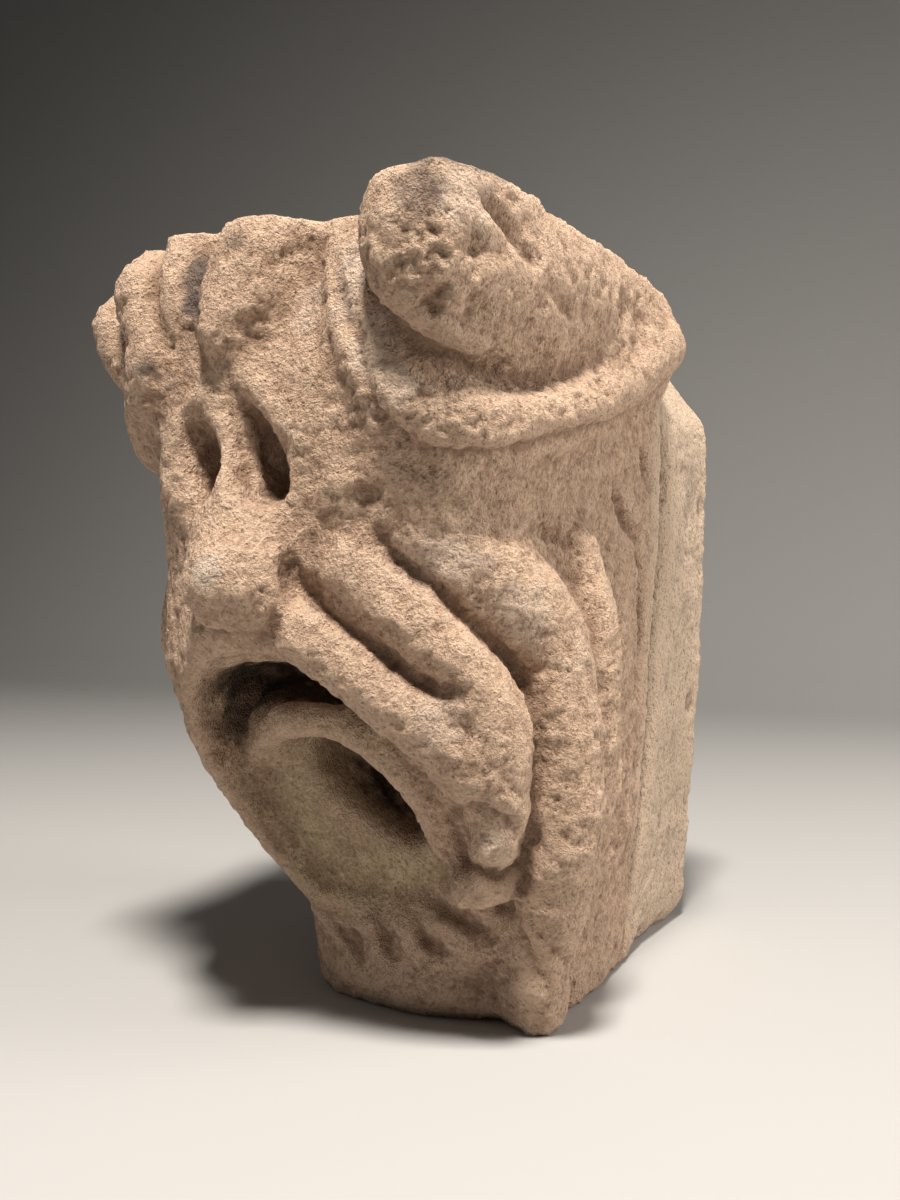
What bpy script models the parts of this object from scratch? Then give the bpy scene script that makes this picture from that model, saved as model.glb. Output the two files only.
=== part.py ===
"""Stone corbel: one carved sandstone block, a monster's mask on a plain tail that is built into a wall.

The frame has its origin at the middle of the tail's wall face. +Y points into the wall, the mask
looks along -Y, +Z is up and +X is the side that shows most. Sizes are in metres. The carving is
drawn on a grid of parts, 190 across, 290 out from the wall and 300 high, and point() lays that grid
on the stone's own width, reach and height, so a part is a millimetre on the stone as measured.
"""
import math

import bmesh
import bpy
import numpy as np
from mathutils import Matrix, Vector
from mathutils.bvhtree import BVHTree

# Driving sizes of the stone
HEIGHT = 0.300
WIDTH = 0.190
REACH = 0.290
TAIL_LENGTH = 0.085
SHOULDER_DROP = 0.048
SHOULDER_RUN = 0.040
CHEST_SHARE = 0.94
FOOT_SHARE = 0.80
FOOT_CHIP = 0.008
CORE_LAP = 0.008

# Driving sizes of the carving
CURL_RADIUS = 0.042
CURL_FRONT_RADIUS = 0.046
FAR_CURL_RADIUS = 0.037
FAR_LOBE_RADIUS = 0.0150
CURL_RING_RADIUS = 0.0115
TUFT_RADIUS = 0.017
BULB_RADIUS = 0.022
NOSE_WING_RADIUS = 0.015
LIP_RADIUS = 0.0128
FOLD_RADIUS = 0.0130
CHEEK_RADIUS = 0.0165
GUM_RADIUS = 0.0082
TOOTH_RADIUS = 0.0080
CHIN_RADIUS = 0.0200
NOSTRIL_RADIUS = 0.0082
NOSTRIL_DEPTH = 0.024
THROAT_RADIUS = 0.0160
THROAT_DEPTH = 0.030
RECESS_RADIUS = 0.0062
RECESS_DEPTH = 0.027
GROOVE_WIDTH = 0.0075
GROOVE_DEPTH = 0.0050

# How finely the stone is fused, how far its joins melt and how many triangles it keeps
VOXEL = 0.0030
MELT_ROUNDS = 5
TRIANGLE_BUDGET = 10200
SPARE = 0.012

GRID_WIDTH = 190
GRID_REACH = 290
GRID_HEIGHT = 300

STONE_COLOUR = (0.50, 0.36, 0.27, 1.0)
STONE_ROUGHNESS = 0.95


def point(x, y, z):
    """A place on the stone, from a place on the drawing's grid."""
    return Vector((x * WIDTH / GRID_WIDTH, y * REACH / GRID_REACH, z * HEIGHT / GRID_HEIGHT))


def smooth_path(knots, step):
    """Places a step apart on a smooth curve through knots of (x, y, z, radius share)."""
    rows = [Vector((*point(*knot[:3]), knot[3])) for knot in knots]
    rows = [2 * rows[0] - rows[1]] + rows + [2 * rows[-1] - rows[-2]]
    path = []
    for a, b, c, d in zip(rows, rows[1:], rows[2:], rows[3:]):
        count = max(2, round((c - b).to_3d().length / step))
        for k in range(count):
            t = k / count
            path.append(0.5 * (2 * b + (c - a) * t + (2 * a - 5 * b + 4 * c - d) * t ** 2
                               + (3 * b - a - 3 * c + d) * t ** 3))
    path.append(rows[-2])
    return path


def add_ball(bm, centre, radii, subdivisions=3):
    """A closed ellipsoid."""
    matrix = Matrix.LocRotScale(centre, None, Vector(radii))
    bmesh.ops.create_icosphere(bm, subdivisions=subdivisions, radius=1.0, matrix=matrix)


def add_roll(bm, radius, knots):
    """A round roll of stone along a smooth curve: a close string of balls."""
    for x, y, z, share in smooth_path(knots, radius * 0.35):
        add_ball(bm, (x, y, z), [radius * share] * 3, subdivisions=2)


def add_slot(bm, radius, depth, knots):
    """A rounded slot that goes straight in along a smooth curve: a close string of deep balls."""
    for x, y, z, share in smooth_path(knots, radius * 0.35):
        add_ball(bm, (x, y, z), (radius * share, depth * share, radius * share), subdivisions=2)


def add_loft(bm, rings):
    """A closed body through a stack of outlines with as many places each."""
    loops = []
    for ring in rings:
        verts = [bm.verts.new(corner) for corner in ring]
        loops.append([bm.edges.new(pair) for pair in zip(verts, verts[1:] + verts[:1])])
    faces = []
    for lower, upper in zip(loops, loops[1:]):
        faces += bmesh.ops.bridge_loops(bm, edges=lower + upper)["faces"]
    for end in (loops[0], loops[-1]):
        faces += bmesh.ops.edgeloop_fill(bm, edges=end)["faces"]
    bmesh.ops.recalc_face_normals(bm, faces=faces)


# The core: level outlines of the head as (near half width, far half width, front, height)
CORE_LEVELS = (
    (88, 34, -190, -152),
    (90, 33, -196, -128),
    (92, 30, -204, -112),
    (95, 46, -222, -90),
    (97, 68, -250, -50),
    (97, 77, -264, -10),
    (98, 72, -266, 30),
    (100, 73, -270, 52),
    (103, 76, -272, 76),
    (104, 76, -268, 105),
    (98, 74, -246, 138),
    (92, 74, -242, 162),
)
NEAR_ROUNDING = 0.36
FAR_ROUNDING = 0.54

# Balls of the mask, as (radius, place, shares of the radius along X, Y and Z)
BALLS = (
    (CURL_FRONT_RADIUS, (74, -250, 132), (0.62, 0.95, 1.0)),
    (CURL_FRONT_RADIUS, (83, -262, 136), (0.34, 0.63, 0.88)),
    (FAR_CURL_RADIUS, (-56, -220, 116), (0.85, 0.95, 0.85)),
    (FAR_LOBE_RADIUS, (-19, -255, 111), (0.8, 0.8, 1.1)),
    (BULB_RADIUS, (0, -271, 21), (1.0, 1.0, 1.0)),
    (BULB_RADIUS, (-7, -264, 36), (0.86, 0.86, 0.9)),
    (NOSE_WING_RADIUS, (-34, -255, 62), (1.0, 1.0, 1.4)),
)

# Rolls of the mask, as (x, y, z, share of the roll's radius)
CURL = (
    (66, -232, 124, 1),
    (66, -180, 127, 1),
    (64, -100, 129, 0.98),
)
FAR_CURL = (
    (-58, -205, 116, 0.86),
    (-58, -160, 117, 0.86),
    (-58, -104, 118, 0.86),
)
FAR_LOBES = (
    (
        (-64, -247, 98, 0.6),
        (-75, -246, 112, 0.85),
        (-80, -240, 126, 0.92),
        (-83, -180, 125, 0.92),
        (-82, -104, 125, 0.92),
    ),
    (
        (-45, -257, 100, 0.65),
        (-51, -258, 118, 0.95),
        (-55, -250, 134, 1.12),
        (-57, -190, 135, 1.1),
        (-57, -104, 135, 1.1),
    ),
    (
        (-31, -262, 108, 0.6),
        (-32, -261, 122, 0.85),
        (-32, -252, 137, 1.0),
        (-35, -190, 136, 1.0),
        (-35, -104, 136, 1.0),
    ),
)
CURL_RING = (
    (30, -238, 152, 1.0),
    (39, -257, 124, 1.05),
    (52, -267, 97, 1.05),
    (67, -266, 77, 1.15),
    (83, -251, 73, 1.25),
    (93, -218, 79, 1.2),
    (98, -171, 95, 1.05),
    (99, -131, 112, 1.05),
    (98, -104, 125, 1.2),
)
FAR_CURL_RING = (
    (-32, -252, 152, 1.1),
    (-40, -261, 122, 1.1),
    (-48, -262, 97, 1.1),
    (-62, -244, 83, 1.15),
    (-80, -214, 79, 1.25),
    (-94, -170, 92, 1.1),
    (-99, -122, 118, 1.2),
)
TUFT = (
    (0, -246, 156, 1.25),
    (-2, -257, 132, 1.1),
    (-11, -270, 109, 0.6),
)
LIP = (
    (0, -266, 8, 1.0),
    (18, -266, 6, 1.0),
    (36, -262, -7, 1.0),
    (53, -256, -20, 1.0),
    (66, -249, -32, 1.0),
    (76, -240, -45, 1.0),
    (83, -230, -61, 0.9),
)
FAR_LIP = (
    (0, -266, 8, 1.0),
    (-14, -264, 4, 0.9),
    (-26, -259, -6, 0.8),
    (-33, -251, -20, 0.75),
    (-37, -241, -38, 0.65),
    (-36, -228, -58, 0.55),
    (-33, -214, -76, 0.5),
    (-28, -202, -94, 0.45),
)
FOLD = (
    (38, -260, 26, 0.9),
    (55, -256, 10, 1.0),
    (69, -251, -3, 1.0),
    (79, -243, -18, 1.0),
    (84, -236, -36, 1.0),
    (85, -231, -54, 0.85),
)
FAR_FOLD = (
    (-32, -254, 26, 0.8),
    (-44, -246, 10, 0.8),
    (-50, -238, -6, 0.75),
    (-52, -230, -24, 0.7),
)
CHEEK = (
    (53, -249, 42, 0.85),
    (67, -244, 35, 1.0),
    (81, -230, 20, 1.08),
    (90, -214, 0, 1.1),
    (94, -212, -22, 1.08),
    (95, -208, -46, 1.05),
    (93, -205, -72, 1.05),
    (87, -200, -98, 0.95),
    (80, -194, -122, 0.85),
    (77, -188, -142, 0.8),
)
FAR_CHEEK = (
    (-48, -236, 42, 0.6),
    (-61, -222, 20, 0.8),
    (-71, -213, 0, 0.9),
    (-68, -208, -20, 0.8),
    (-62, -198, -44, 0.65),
)
BRIDGE = (
    (0, -256, 100, 0.6),
    (1, -266, 76, 0.6),
    (1, -268, 50, 0.65),
)
SIDE_LOBE = (
    (90, -187, 32, 0.75),
    (92, -185, 8, 0.95),
    (92, -183, -20, 0.95),
    (91, -181, -50, 0.9),
    (87, -175, -86, 0.75),
)
GUM = (
    (-29, -222, -47, 0.8),
    (-19, -230, -39, 0.9),
    (-7, -239, -33, 0.95),
    (6, -245, -30, 1.0),
    (20, -246, -30, 0.95),
    (31, -244, -34, 0.95),
    (40, -241, -40, 1.0),
    (47, -237, -47, 1.0),
    (52, -232, -56, 1.0),
    (54, -226, -66, 1.0),
    (54, -219, -78, 0.8),
)
TEETH = (
    ((80, -232, -72), (1.35, 1.3, 1.05)),
    ((69, -224, -89), (1.5, 1.45, 1.25)),
    ((79, -212, -83), (1.4, 1.4, 2.0)),
)
CHIN = (
    (-13, -172, -136, 0.85),
    (5, -184, -136, 0.9),
    (34, -187, -136, 0.85),
    (58, -182, -134, 0.8),
)
LOWER_LIP = (
    (-17, -178, -118, 0.5),
    (-8, -187, -121, 0.55),
    (14, -193, -122, 0.55),
    (38, -196, -120, 0.55),
    (58, -196, -114, 0.6),
    (71, -198, -107, 0.55),
)
NOSTRIL = (
    (-9, -280, 92, 0.45),
    (-4, -280, 84, 0.75),
    (1, -279, 75, 1.05),
    (5, -277, 66, 1.25),
    (8, -276, 58, 1.3),
    (9, -275, 52, 0.9),
)
FAR_NOSTRIL = (
    (-24, -276, 79, 0.7),
    (-22, -277, 70, 1.1),
    (-20, -277, 61, 1.2),
    (-21, -275, 53, 0.9),
)

# The mouth's outline in the upright plane, as (x, z), and how far it shrinks as it goes in
MOUTH_OUTLINE = (
    (0, -4), (14, -5), (37, -19), (49, -31), (61, -43), (68, -56), (68, -75), (65, -94),
    (53, -112), (28, -117), (0, -117), (-20, -112), (-34, -90), (-42, -66), (-44, -44),
    (-40, -26), (-30, -14), (-14, -5),
)
MOUTH_MIDDLE = (10, -62)
THROAT = (
    (7, -216, -46, 0.85),
    (20, -212, -56, 1.0),
    (32, -208, -66, 0.85),
)
RECESS = (
    (-37, -234, -38, 0.45),
    (-34, -233, -27, 0.7),
    (-26, -236, -17, 1.0),
    (-12, -241, -14, 1.0),
    (2, -243, -15, 1.0),
    (14, -243, -20, 0.9),
    (25, -242, -27, 0.65),
)
MOUTH_STEPS = ((-330, 1.02), (-258, 1.0), (-230, 0.93), (-217, 0.78))
MOUTH_LEAN = 0.34


def tail_half_width(up):
    """Half the width of the plain tail at a height in metres: it narrows towards its foot."""
    chest = HEIGHT / 2 - SHOULDER_DROP
    rise = min(1.0, (up + HEIGHT / 2) / (chest + HEIGHT / 2))
    return WIDTH / 2 * (FOOT_SHARE + (CHEST_SHARE - FOOT_SHARE) * math.sin(rise * math.pi / 2))


def core_ring(near, far, front, up):
    """A level outline of the head: as wide as the tail behind, bowed and rounded in front."""
    back = point(0, front, up)
    back.y = CORE_LAP - TAIL_LENGTH
    steps = 40
    ring = []
    for k in range(steps + 1):
        angle = math.pi * k / steps
        is_near = k <= steps / 2
        rounding = NEAR_ROUNDING if is_near else FAR_ROUNDING
        across = abs(math.cos(angle)) ** rounding
        ahead = abs(math.sin(angle)) ** rounding
        place = point(near if is_near else -far, front, up)
        behind = math.copysign(min(abs(place.x), tail_half_width(place.z)), place.x)
        if not is_near:
            behind = -tail_half_width(place.z)
        side = (place.x * ahead + behind * (1 - ahead)) * across
        ring.append(Vector((side, back.y + (place.y - back.y) * ahead, place.z)))
    return ring


def add_tail(bm):
    """The plain block that is built into the wall, narrower below, with its top corners broken off."""
    half = WIDTH / 2
    top = HEIGHT / 2
    foot = tail_half_width(-top) - FOOT_CHIP
    outline = [(foot, -top - SPARE), (foot, -top)]
    for k in range(7):
        z = -top + FOOT_CHIP + k / 6 * (HEIGHT - SHOULDER_DROP - FOOT_CHIP)
        outline.append((tail_half_width(z), z))
    outline += [(half - SHOULDER_RUN, top), (half - SHOULDER_RUN, top + SPARE)]
    outline += [(-x, z) for x, z in reversed(outline)]
    rings = []
    for depth in (-TAIL_LENGTH - SPARE, SPARE):
        rings.append([Vector((x, depth, z)) for x, z in outline])
    add_loft(bm, rings)


def build_body():
    """The closed bodies that the uncut stone is fused from."""
    bm = bmesh.new()
    add_loft(bm, [core_ring(*level) for level in CORE_LEVELS])
    add_tail(bm)
    for radius, place, shares in BALLS:
        add_ball(bm, point(*place), [radius * share for share in shares])
    add_roll(bm, CURL_RADIUS, CURL)
    add_roll(bm, FAR_CURL_RADIUS, FAR_CURL)
    for knots in FAR_LOBES:
        add_roll(bm, FAR_LOBE_RADIUS, knots)
    add_roll(bm, CURL_RING_RADIUS, CURL_RING)
    add_roll(bm, CURL_RING_RADIUS, FAR_CURL_RING)
    add_roll(bm, TUFT_RADIUS, TUFT)
    for radius, near, far in ((LIP_RADIUS, LIP, FAR_LIP), (FOLD_RADIUS, FOLD, FAR_FOLD),
                              (CHEEK_RADIUS, CHEEK, FAR_CHEEK)):
        add_roll(bm, radius, near)
        add_roll(bm, radius, far)
    add_roll(bm, CHEEK_RADIUS, SIDE_LOBE)
    add_roll(bm, BULB_RADIUS, BRIDGE)
    add_roll(bm, CHIN_RADIUS, CHIN)
    return bm


def build_hollows():
    """The closed bodies that are cut out: the mouth, its throat, the recess under its lip, the nostrils."""
    bm = bmesh.new()
    rings = []
    for depth, share in MOUTH_STEPS:
        ring = []
        for x, z in MOUTH_OUTLINE:
            mx, mz = MOUTH_MIDDLE
            lean = -MOUTH_LEAN * (z - mz)
            ring.append(point(mx + (x - mx) * share, depth + lean, mz + (z - mz) * share))
        rings.append(ring)
    add_loft(bm, rings)
    add_slot(bm, THROAT_RADIUS, THROAT_DEPTH, THROAT)
    add_slot(bm, RECESS_RADIUS, RECESS_DEPTH, RECESS)
    for knots in (NOSTRIL, FAR_NOSTRIL):
        add_slot(bm, NOSTRIL_RADIUS, NOSTRIL_DEPTH, knots)
    return bm


def build_inlay():
    """What stands inside the mouth once it is cut: gums, corner teeth and the lower lip."""
    bm = bmesh.new()
    add_roll(bm, GUM_RADIUS, GUM)
    for place, radii in TEETH:
        add_ball(bm, point(*place), [TOOTH_RADIUS * r for r in radii])
    add_roll(bm, CHIN_RADIUS, LOWER_LIP)
    return bm


def new_object(name, bm):
    """Puts a bmesh into a new object of the scene."""
    mesh = bpy.data.meshes.new(name)
    bm.to_mesh(mesh)
    bm.free()
    obj = bpy.data.objects.new(name, mesh)
    bpy.context.scene.collection.objects.link(obj)
    return obj


def as_guide(obj):
    """Marks an object as a helper that is no part of the stone."""
    obj.hide_render = True
    obj.display_type = "WIRE"
    return obj


def fuse(obj, voxel):
    """Fuses the overlapping closed bodies of an object into one skin."""
    remesh = obj.modifiers.new("fuse", "REMESH")
    remesh.mode = "VOXEL"
    remesh.voxel_size = voxel
    return remesh


def combine(obj, other, operation):
    """Adds a Boolean with another object."""
    step = obj.modifiers.new(operation.lower(), "BOOLEAN")
    step.operation = operation
    step.object = other
    step.solver = "EXACT"


def evaluated_bmesh(obj):
    """The object's mesh with its modifiers applied, as a bmesh."""
    graph = bpy.context.evaluated_depsgraph_get()
    bm = bmesh.new()
    bm.from_object(obj, graph)
    return bm


def cut_off(bm, place, normal):
    """Cuts away what lies beyond a plane and closes the cut with a flat face."""
    geometry = bm.verts[:] + bm.edges[:] + bm.faces[:]
    cut = bmesh.ops.bisect_plane(bm, geom=geometry, dist=1e-7, plane_co=place, plane_no=normal,
                                 clear_outer=True)["geom_cut"]
    edges = [item for item in cut if isinstance(item, bmesh.types.BMEdge)]
    filled = bmesh.ops.triangle_fill(bm, edges=edges, use_dissolve=False, use_beauty=True)
    return filled


def melt(bm, rounds):
    """Softens the skin, as worn stone is."""
    for _ in range(rounds):
        bmesh.ops.smooth_vert(bm, verts=bm.verts, factor=0.5, use_axis_x=True, use_axis_y=True,
                              use_axis_z=True)


def rough_stone():
    """The fused and hollowed stone, before its grooves are cut."""
    body = new_object("stone_body", build_body())
    hollows = as_guide(new_object("mouth_hollows", build_hollows()))
    inlay = as_guide(new_object("mouth_inlay", build_inlay()))
    fuse(hollows, VOXEL)
    fuse(inlay, VOXEL)
    fuse(body, VOXEL)
    combine(body, hollows, "DIFFERENCE")
    combine(body, inlay, "UNION")
    fuse(body, VOXEL)
    bm = evaluated_bmesh(body)
    for obj in (body, hollows, inlay):
        bpy.data.objects.remove(obj)
    melt(bm, MELT_ROUNDS)
    return bm


# Grooves as (width share, depth share, knots of (x, y, z, strength))
GROOVES = (
    # between the curl's ring and its ball
    (1.0, 1.1, ((52, -268, 143, 1), (55, -271, 125, 1), (60, -275, 111, 1), (70, -274, 100, 1),
                (80, -262, 93, 1), (86, -248, 90, 0.9), (93, -225, 91, 0.6), (98, -183, 105, 0.4),
                (100, -153, 119, 0.3), (100, -120, 135, 0.2))),
    # under the curl's ring
    (0.8, 0.4, ((37, -268, 125, 0.6), (49, -277, 102, 1), (58, -276, 75, 1), (71, -269, 64, 1),
                (90, -254, 62, 1), (96, -241, 65, 1), (104, -214, 72, 1), (97, -146, 90, 0.7))),
    # inside the curl's ball
    (0.8, 0.8, ((98, -272, 141, 0.6), (100, -267, 138, 1), (102, -259, 134, 1), (103, -251, 128, 0.6))),
    # between the lip and the fold above it
    (0.8, 1.1, ((20, -272, 25, 0.5), (27, -266, 15, 1), (36, -264, 7, 1), (47, -261, 0, 1),
                (56, -259, -7, 1), (66, -255, -14, 0.9), (78, -255, -17, 0.3))),
    # between the fold and the cheek
    (0.75, 0.9, ((50, -265, 39, 0.4), (57, -260, 28, 0.9), (67, -256, 20, 1), (76, -251, 10, 1),
                (82, -242, 1, 1), (87, -232, -8, 1), (91, -228, -20, 1), (93, -226, -33, 1),
                (92, -226, -46, 1), (90, -225, -58, 1), (86, -218, -70, 1), (82, -212, -85, 1),
                (75, -207, -101, 0.7))),
    # above the cheek
    (0.8, 0.35, ((84, -224, 44, 0.5), (90, -214, 39, 1), (93, -196, 33, 0.8), (98, -179, 19, 0.4))),
    # the small crease beside the nose
    (0.8, 0.6, ((54, -268, 52, 0.6), (48, -268, 45, 1), (44, -267, 39, 0.5))),
    # along the tuft's lower edge and down its far edge
    (1.0, 0.25, ((17, -259, 139, 0.6), (8, -266, 133, 1), (1, -271, 127, 1), (-6, -275, 119, 0.6))),
    (1.0, 0.5, ((-22, -256, 149, 0.7), (-26, -261, 141, 1), (-28, -263, 126, 1), (-25, -266, 113, 1),
                (-17, -270, 101, 0.5))),
    # between the lobes of the far curl
    (0.9, 0.8, ((-71, -245, 142, 1), (-69, -255, 128, 1), (-66, -257, 112, 1), (-58, -258, 98, 0.6))),
    (0.9, 0.8, ((-46, -250, 149, 1), (-45, -260, 138, 1), (-42, -264, 122, 1), (-38, -266, 108, 0.5))),
    # round the corner teeth
    (0.7, 0.8, ((67, -238, -64, 0.7), (68, -234, -73, 1), (73, -234, -79, 1), (80, -228, -83, 1))),
    (0.7, 0.8, ((57, -216, -86, 0.7), (58, -212, -94, 1), (64, -214, -99, 1), (74, -210, -100, 0.7))),
    # the scallops of the lower lip
    *((0.8, 1.0, knots) for knots in (
        ((-5, -207, -115, 0.7), (0, -203, -123, 1), (6, -200, -129, 0.6)),
        ((16, -206, -111, 0.7), (19, -206, -119, 1), (22, -204, -126, 0.6)),
        ((34, -207, -110, 0.7), (39, -206, -118, 1), (45, -203, -123, 0.6)),
        ((42, -204, -105, 0.7), (55, -209, -107, 1), (64, -206, -113, 0.6)),
    )),
    # two hollows under the end of the curl
    (0.9, 0.8, ((91, -106, 78, 0.6), (90, -96, 71, 1), (89, -88, 64, 0.6))),
    (0.9, 0.8, ((92, -143, 60, 0.6), (91, -135, 52, 1), (89, -112, 43, 0.7))),
    # the side: round the long lobe and where the head ends and the tail begins
    (0.8, 0.45, ((90, -151, 36, 0.6), (94, -172, 28, 1), (97, -180, 10, 1), (98, -176, -10, 1),
                 (98, -173, -26, 0.5))),
    (0.9, 0.9, ((89, -107, 38, 0.6), (88, -100, 20, 1), (87, -97, -4, 1), (86, -99, -28, 0.5))),
    (1.2, 0.8, ((88, -70, 104, 0.7), (89, -66, 80, 1), (88, -68, 40, 1), (86, -74, -5, 1),
                (84, -74, -47, 1), (81, -80, -85, 0.8), (79, -90, -120, 0.5))),
)


def cut_grooves(bm):
    """Sinks the stone along each groove: every place near its line moves in along its own normal."""
    skin = BVHTree.FromBMesh(bm)
    places = np.array([vert.co for vert in bm.verts])
    normals = np.array([vert.normal for vert in bm.verts])
    for width_share, depth_share, knots in GROOVES:
        width = GROOVE_WIDTH * width_share
        path = smooth_path(knots, VOXEL)
        line = np.array([skin.find_nearest(place.to_3d())[0] for place in path])
        strength = np.array([place[3] for place in path])
        inside = (places > line.min(axis=0) - width) & (places < line.max(axis=0) + width)
        near = np.flatnonzero(inside.all(axis=1))
        gaps = np.linalg.norm(places[near, None, :] - line[None, :, :], axis=2)
        closest = gaps.argmin(axis=1)
        gap = gaps[np.arange(len(near)), closest]
        fall = np.clip(1 - (gap / width) ** 2, 0, 1) ** 2 * strength[closest]
        places[near] -= normals[near] * (fall * GROOVE_DEPTH * depth_share)[:, None]
    for vert, place in zip(bm.verts, places):
        vert.co = place


def stone_material():
    """The sandstone."""
    material = bpy.data.materials.new("sandstone")
    material.use_nodes = True
    shader = material.node_tree.nodes["Principled BSDF"]
    shader.inputs["Base Color"].default_value = STONE_COLOUR
    shader.inputs["Roughness"].default_value = STONE_ROUGHNESS
    shader.inputs["Metallic"].default_value = 0.0
    return material


def build_corbel():
    """The finished stone: hollowed, grooved, thinned and cut flat at the bed and the wall."""
    bm = rough_stone()
    bm.normal_update()
    cut_grooves(bm)
    melt(bm, 1)
    fine = new_object("corbel_fine", bm)
    thin = fine.modifiers.new("thin", "DECIMATE")
    thin.ratio = TRIANGLE_BUDGET / (2 * len(fine.data.polygons))
    thin.use_collapse_triangulate = True
    bm = evaluated_bmesh(fine)
    bpy.data.objects.remove(fine)
    cut_off(bm, (0, 0, 0), (0, 1, 0))
    cut_off(bm, (0, 0, HEIGHT / 2), (0, 0, 1))
    cut_off(bm, (0, 0, -HEIGHT / 2), (0, 0, -1))
    bmesh.ops.triangulate(bm, faces=bm.faces)
    bmesh.ops.recalc_face_normals(bm, faces=bm.faces)
    corbel = new_object("corbel_stone", bm)
    corbel.data.materials.append(stone_material())
    corbel.data.shade_smooth()
    corbel.data.set_sharp_from_angle(angle=math.radians(55))
    return corbel


for old in list(bpy.data.objects):
    bpy.data.objects.remove(old)
build_corbel()
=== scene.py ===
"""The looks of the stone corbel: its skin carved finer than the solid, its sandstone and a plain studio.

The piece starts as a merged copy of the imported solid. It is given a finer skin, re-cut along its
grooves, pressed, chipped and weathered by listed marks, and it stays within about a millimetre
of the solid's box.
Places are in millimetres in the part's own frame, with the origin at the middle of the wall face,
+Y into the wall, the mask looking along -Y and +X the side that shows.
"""

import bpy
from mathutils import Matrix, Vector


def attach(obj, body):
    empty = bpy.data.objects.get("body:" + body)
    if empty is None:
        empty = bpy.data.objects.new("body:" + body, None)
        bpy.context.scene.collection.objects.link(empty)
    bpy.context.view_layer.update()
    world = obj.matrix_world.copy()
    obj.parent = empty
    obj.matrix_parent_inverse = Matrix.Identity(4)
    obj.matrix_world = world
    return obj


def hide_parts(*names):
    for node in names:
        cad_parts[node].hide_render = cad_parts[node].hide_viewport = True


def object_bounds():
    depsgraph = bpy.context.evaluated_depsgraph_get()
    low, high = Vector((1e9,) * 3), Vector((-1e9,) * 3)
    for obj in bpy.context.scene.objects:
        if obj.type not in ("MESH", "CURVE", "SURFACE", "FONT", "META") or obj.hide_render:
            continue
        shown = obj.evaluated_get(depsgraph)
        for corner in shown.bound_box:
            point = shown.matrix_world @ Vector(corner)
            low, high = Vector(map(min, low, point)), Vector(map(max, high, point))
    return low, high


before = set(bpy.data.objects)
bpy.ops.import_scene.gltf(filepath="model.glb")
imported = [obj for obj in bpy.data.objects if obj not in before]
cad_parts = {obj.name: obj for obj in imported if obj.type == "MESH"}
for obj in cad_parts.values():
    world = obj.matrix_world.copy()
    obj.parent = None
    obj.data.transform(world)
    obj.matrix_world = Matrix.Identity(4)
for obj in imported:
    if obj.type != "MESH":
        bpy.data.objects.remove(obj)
SOLID_BOX = [list(corner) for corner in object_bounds()]

import logging
import math
from dataclasses import dataclass, field
from enum import Enum

import bmesh
import bpy
import numpy as np
from mathutils import Vector, noise
from mathutils.bvhtree import BVHTree

LOG = logging.getLogger("corbel")
MILLIMETRE = 0.001
Knots = tuple[tuple[float, ...], ...]


def metres(x: float, y: float, z: float) -> Vector:
    """A place in metres, from millimetres."""
    return Vector((x, y, z)) * MILLIMETRE


class Cut(Enum):
    """The profile that a tool leaves across its stroke, as the fall at a share of its half width."""

    GOUGE = "gouge"
    CREASE = "crease"
    RIDGE = "ridge"

    def fall(self, share: np.ndarray) -> np.ndarray:
        """How deep the stroke is at a share of its half width.

        Args:
            share: distance from the stroke's line over its half width.

        Returns:
            The depth as a share of the stroke's own, negative where it stands proud.
        """
        inside = np.clip(1 - share, 0, 1)
        if self is Cut.CREASE:
            return inside ** 1.5
        rounded = np.clip(1 - share ** 2, 0, 1) ** 2
        return -rounded if self is Cut.RIDGE else rounded


@dataclass(frozen=True)
class Stroke:
    """One stroke of a carving tool along a smooth curve on the skin, in millimetres."""

    cut: Cut
    half_width: float
    depth: float
    knots: Knots

    def line(self, step: float) -> list[Vector]:
        """Places a step apart along the stroke.

        Args:
            step: the distance between places, in millimetres.

        Returns:
            Places as (x, y, z, strength), in millimetres.
        """
        rows = [Vector((*knot[:3], knot[3] if len(knot) > 3 else 1.0)) for knot in self.knots]
        rows = [2 * rows[0] - rows[1]] + rows + [2 * rows[-1] - rows[-2]]
        places = []
        for a, b, c, d in zip(rows, rows[1:], rows[2:], rows[3:]):
            count = max(2, round((c - b).to_3d().length / step))
            for k in range(count):
                t = k / count
                places.append(0.5 * (2 * b + (c - a) * t + (2 * a - 5 * b + 4 * c - d) * t ** 2
                                     + (3 * b - a - 3 * c + d) * t ** 3))
        places.append(rows[-2])
        return places


@dataclass(frozen=True)
class Press:
    """A dent pressed into the skin, or a boss raised on it where the depth is negative."""

    place: tuple[float, float, float]
    radius: float
    depth: float
    rough: float = 0.0


@dataclass(frozen=True)
class Patch:
    """A patch of another tone: a place, its radii along X, Y and Z in millimetres, and a strength."""

    place: tuple[float, float, float]
    radii: tuple[float, float, float]
    strength: float = 1.0


@dataclass(frozen=True)
class Wave:
    """A layer of random relief: its lumps' size and height in millimetres, and its place in the noise."""

    length: float
    height: float
    flatness: float = 1.0
    shift: float = 0.0


@dataclass(frozen=True)
class Weathering:
    """How weather has roughened the stone, with sizes and heights in millimetres."""

    lumps: tuple[Wave, ...] = (Wave(19, 1.0), Wave(8, 0.7, 1.2, 11))
    grit: tuple[Wave, ...] = (Wave(3.8, 0.7, 1.3, 23), Wave(2.4, 0.5, 1.3, 31))
    pits: Wave = Wave(2.8, 1.3, 1.4, 47)
    pit_start: float = 0.26
    breaks: Wave = Wave(6.5, 1.7, 1.2, 59)
    break_rest: float = 0.4
    broken_grit: float = 0.8
    sparing: float = 0.65


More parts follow.
